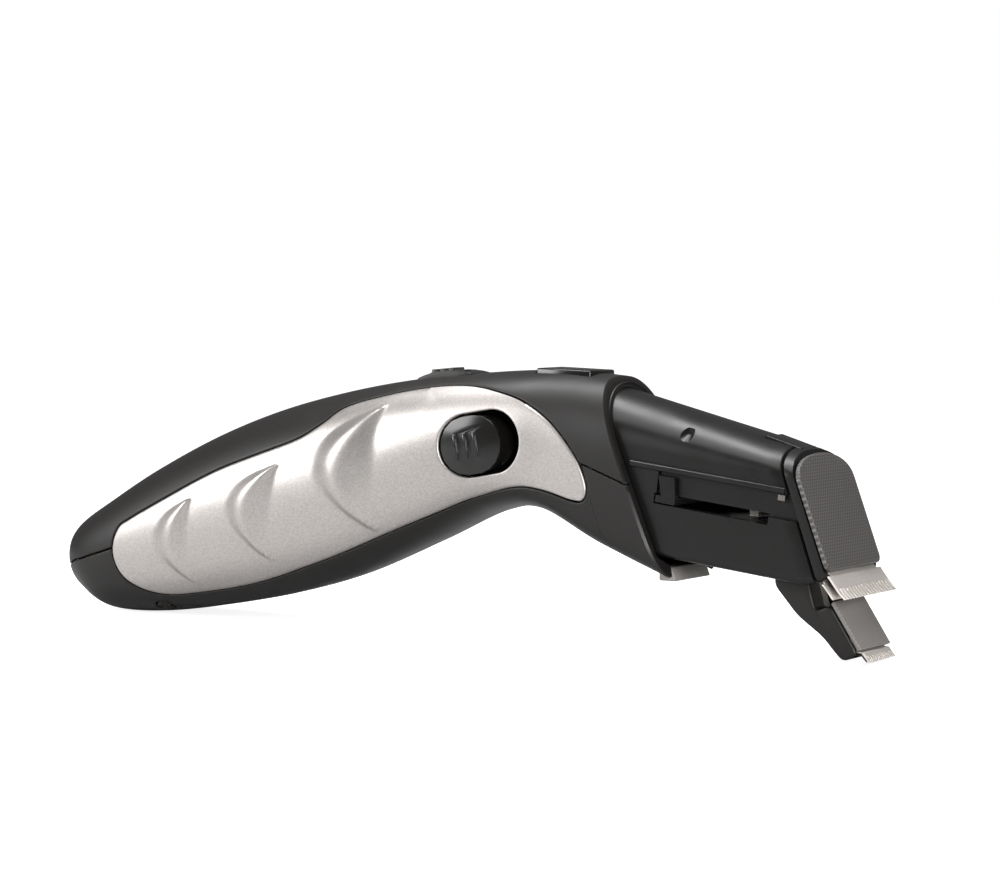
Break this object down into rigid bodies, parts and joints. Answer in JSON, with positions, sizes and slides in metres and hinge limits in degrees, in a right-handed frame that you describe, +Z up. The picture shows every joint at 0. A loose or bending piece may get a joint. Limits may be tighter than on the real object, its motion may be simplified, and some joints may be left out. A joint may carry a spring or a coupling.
{
  "type": "electric shaver",
  "caption": "Cordless curved-grip body shaver and trimmer with a railed head, toothed cutting blade, fold-out detail trimmer and sliding power switch.",
  "frame": {"origin": "middle of the footprint, at the height of the surface that the shaver lies on", "axes": "+X from the heel towards the blades, +Y across the grip towards the side without the power switch, +Z up from belly to spine"},
  "size_m": [0.1822, 0.0332, 0.0521],
  "materials": {
    "shell_black": "satin moulded",
    "panel_silver": "satin metallic paint",
    "gloss_black": "gloss moulded",
    "head_black": "semi-gloss moulded",
    "plate_grey": "fine embossed texture",
    "button_grey": "satin moulded",
    "steel": "satin",
    "brass": "bright",
    "board_green": "solder-masked board",
    "cell_sleeve": "shrink sleeve",
    "nylon": "natural nylon",
    "lead_red": "insulated lead",
    "lead_black": "insulated lead"
  },
  "bodies": {
    "handle": {"spine_shell": "shell_black", "belly_shell": "shell_black", "panel_left": "panel_silver", "panel_right": "panel_silver", "switch_tray": "gloss_black", "circuit_board": "board_green", "board_switch": "steel", "setting_bezel": "shell_black", "comb_lock_spring": "steel", "heel_plate": "gloss_black", "charge_contact_left": "brass", "charge_contact_right": "brass", "battery_cell": "cell_sleeve", "battery_contact_rear": "brass", "battery_contact_front": "brass", "heel_screw_left": "steel", "heel_screw_right": "steel", "neck_screw": "steel", "head_housing": "head_black", "comb_catch_left": "steel", "comb_catch_right": "steel", "motor": "steel", "motor_cradle": "nylon", "rocker_pin": "steel", "rocker_bracket": "nylon", "motor_lead_red": "lead_red", "motor_lead_black": "lead_black", "detail_pin": "steel"},
    "power_slider": {"power_slider": "gloss_black"},
    "setting_knob": {"setting_knob": "button_grey"},
    "comb_lock": {"comb_lock_button": "gloss_black"},
    "comb_carriage": {"comb_carriage": "head_black"},
    "trimmer_release": {"trimmer_release": "button_grey"},
    "blade_head": {"blade_cap": "head_black", "faceplate": "plate_grey", "fixed_blade": "steel", "blade_spring": "steel"},
    "blade_drive": {"moving_blade": "steel", "blade_yoke": "nylon"},
    "motor_cam": {"motor_cam": "brass"},
    "rocker": {"drive_rocker": "nylon"},
    "detail_trimmer": {"detail_arm": "shell_black", "detail_faceplate": "plate_grey", "detail_fixed_blade": "steel", "detail_spring": "steel"},
    "detail_drive": {"detail_moving_blade": "steel", "detail_lever": "nylon"}
  },
  "joints": [
    {"name": "power_slide", "type": "slide", "parent": "handle", "child": "power_slider", "axis": [0.9848, 0, 0.1736], "range_m": [0, 0.0032]},
    {"name": "setting_slide", "type": "slide", "parent": "handle", "child": "setting_knob", "axis": [0.9954, 0, 0.0962], "range_m": [0, 0.0025]},
    {"name": "comb_lock_press", "type": "slide", "parent": "handle", "child": "comb_lock", "axis": [-0.032, 0, -0.9995], "range_m": [0, 0.0008], "stiffness_N_per_m": 400, "springref_m": -0.0008, "deforming": ["comb_lock_spring"]},
    {"name": "comb_slide", "type": "slide", "parent": "handle", "child": "comb_carriage", "axis": [0.9921, 0, -0.1253], "range_m": [0, 0.01]},
    {"name": "trimmer_release_press", "type": "slide", "parent": "handle", "child": "trimmer_release", "axis": [0, 0, 1], "range_m": [0, 0.0012], "stiffness_N_per_m": 300, "springref_m": -0.001},
    {"name": "blade_head_pull", "type": "slide", "parent": "handle", "child": "blade_head", "axis": [0.9921, 0, -0.1253], "range_m": [0, 0.012]},
    {"name": "detail_fold", "type": "hinge", "parent": "handle", "child": "detail_trimmer", "pos_m": [0.07613, 0, 0.01823], "axis": [0, 1, 0], "range_deg": [0, 130]},
    {"name": "motor_spin", "type": "hinge", "parent": "handle", "child": "motor_cam", "pos_m": [0.04493, 0, 0.03663], "axis": [0.9921, 0, -0.1253], "continuous": true},
    {"name": "blade_slide", "type": "slide", "parent": "blade_head", "child": "blade_drive", "axis": [0, 1, 0], "range_m": [-0.0005, 0.0005]},
    {"name": "drive_rock", "type": "hinge", "parent": "handle", "child": "rocker", "pos_m": [0.06808, 0, 0.02836], "axis": [0.9921, 0, -0.1253], "range_deg": [-6.4, 6.4]},
    {"name": "detail_blade_slide", "type": "slide", "parent": "detail_trimmer", "child": "detail_drive", "axis": [0, 1, 0], "range_m": [-0.0005, 0.0005]}
  ],
  "couplings": [
    {"joint": "drive_rock", "follows": "blade_slide", "rad_per_m": 213.5},
    {"joint": "detail_blade_slide", "follows": "blade_slide", "ratio": 0.96}
  ]
}
